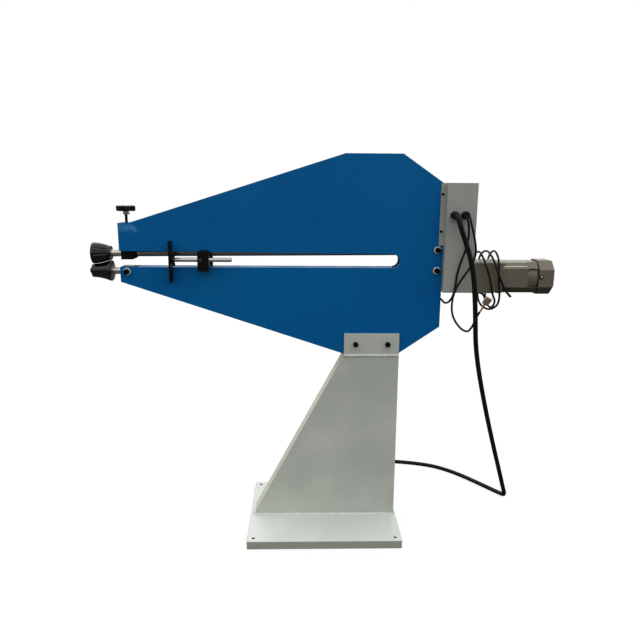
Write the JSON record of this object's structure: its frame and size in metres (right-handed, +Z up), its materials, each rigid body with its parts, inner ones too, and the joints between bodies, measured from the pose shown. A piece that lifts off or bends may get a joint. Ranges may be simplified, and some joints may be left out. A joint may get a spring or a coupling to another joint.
{
  "type": "electric bead roller",
  "caption": "Electric bead roller: deep-throat double-plate frame on a welded pedestal, geared die shafts, screw-down knob, sheet guide, switch cabinet and gear motor.",
  "frame": {"origin": "middle of the base plate's underside, on the floor", "axes": "+X along the die shafts from the dies towards the motor, +Y away from the operator's side, +Z up"},
  "size_m": [1.525, 0.6603, 1.276],
  "materials": {
    "frame_blue": "semi-gloss paint",
    "pedestal_grey": "textured paint",
    "cabinet_grey": "satin paint",
    "motor_grey": "satin paint on cast aluminium",
    "black_steel": "black oxide",
    "bright_steel": "ground",
    "bush_bronze": "machined",
    "knob_black": "moulded",
    "black_plastic": "moulded",
    "cable_rubber": "sheath",
    "connector_cream": "moulded"
  },
  "bodies": {
    "frame": {"base_plate": "pedestal_grey", "pedestal_side_walls": "pedestal_grey", "pedestal_slope_wall": "pedestal_grey", "pedestal_back_wall": "pedestal_grey", "pedestal_cap_plate": "pedestal_grey", "frame_brackets": "pedestal_grey", "bracket_bolts": "black_steel", "frame_plate_front": "frame_blue", "frame_plate_rear": "frame_blue", "frame_edge_strips": "frame_blue", "screw_nut_block": "black_steel", "lower_bearing_blocks": "black_steel", "lower_bushes": "bush_bronze", "bearing_screws": "black_steel", "motor_bracket": "black_steel", "gearbox_screws": "black_steel", "gearbox_case": "motor_grey", "gearbox_flange": "motor_grey", "motor_body": "motor_grey", "motor_band": "black_plastic", "fan_cover": "motor_grey", "cabinet_shell": "cabinet_grey", "cabinet_cover": "cabinet_grey", "cabinet_screws": "bright_steel", "speed_controller": "black_plastic", "gland_mains": "black_plastic", "gland_leads": "black_plastic", "mains_cable": "cable_rubber", "mains_coil": "cable_rubber", "mains_plug": "black_plastic", "frame_lead": "cable_rubber", "control_lead": "cable_rubber", "motor_lead": "cable_rubber", "motor_connector": "connector_cream", "lead_grommets": "black_plastic"},
    "lower_drive": {"lower_shaft": "bright_steel", "lower_gear": "bright_steel", "lower_die": "black_steel", "lower_die_bolt": "black_steel", "lower_collar": "black_steel", "shaft_coupling": "bright_steel", "gearbox_output_shaft": "bright_steel"},
    "upper_carriage": {"upper_front_block": "black_steel", "upper_rear_block": "black_steel", "upper_bushes": "bush_bronze"},
    "upper_spindle": {"upper_shaft": "bright_steel", "upper_gear": "bright_steel", "upper_die": "black_steel", "upper_die_bolt": "black_steel", "upper_collar": "black_steel"},
    "screw_shoe": {"thrust_shoe": "bright_steel"},
    "knob_screw": {"pressure_screw": "black_steel", "star_knob": "knob_black", "lock_nut": "bright_steel"},
    "guide": {"guide_clamp": "black_steel", "clamp_backing": "black_steel", "clamp_screws": "black_steel"},
    "fence": {"guide_rod": "bright_steel", "fence_plate": "black_steel", "fence_nut": "black_steel"}
  },
  "joints": [
    {"name": "lower_shaft_spin", "type": "hinge", "parent": "frame", "child": "lower_drive", "pos_m": [0.368, 0, 0.897], "axis": [1, 0, 0], "continuous": true},
    {"name": "upper_arm_tilt", "type": "hinge", "parent": "frame", "child": "upper_carriage", "pos_m": [0.368, 0, 0.9715], "axis": [0, 1, 0], "range_deg": [-0.0235, 0.345]},
    {"name": "upper_shaft_spin", "type": "hinge", "parent": "upper_carriage", "child": "upper_spindle", "pos_m": [0.368, 0, 0.9645], "axis": [1, 0, 0.0087], "continuous": true},
    {"name": "screw_feed", "type": "slide", "parent": "frame", "child": "screw_shoe", "axis": [0, 0, 1], "range_m": [-0.0004, 0.006]},
    {"name": "knob_turn", "type": "hinge", "parent": "screw_shoe", "child": "knob_screw", "pos_m": [-0.646, 0, 1], "axis": [0, 0, 1], "range_deg": [-97, 1445]},
    {"name": "clamp_slide", "type": "slide", "parent": "frame", "child": "guide", "axis": [1, 0, 0], "range_m": [-0.06, 0.5]},
    {"name": "rod_slide", "type": "slide", "parent": "guide", "child": "fence", "axis": [1, 0, 0], "range_m": [-0.05, 0.07]}
  ],
  "couplings": [
    {"joint": "upper_shaft_spin", "follows": "lower_shaft_spin", "ratio": -1},
    {"joint": "knob_turn", "follows": "screw_feed", "rad_per_m": 4188.8},
    {"joint": "upper_arm_tilt", "follows": "screw_feed", "rad_per_m": 0.98619}
  ]
}
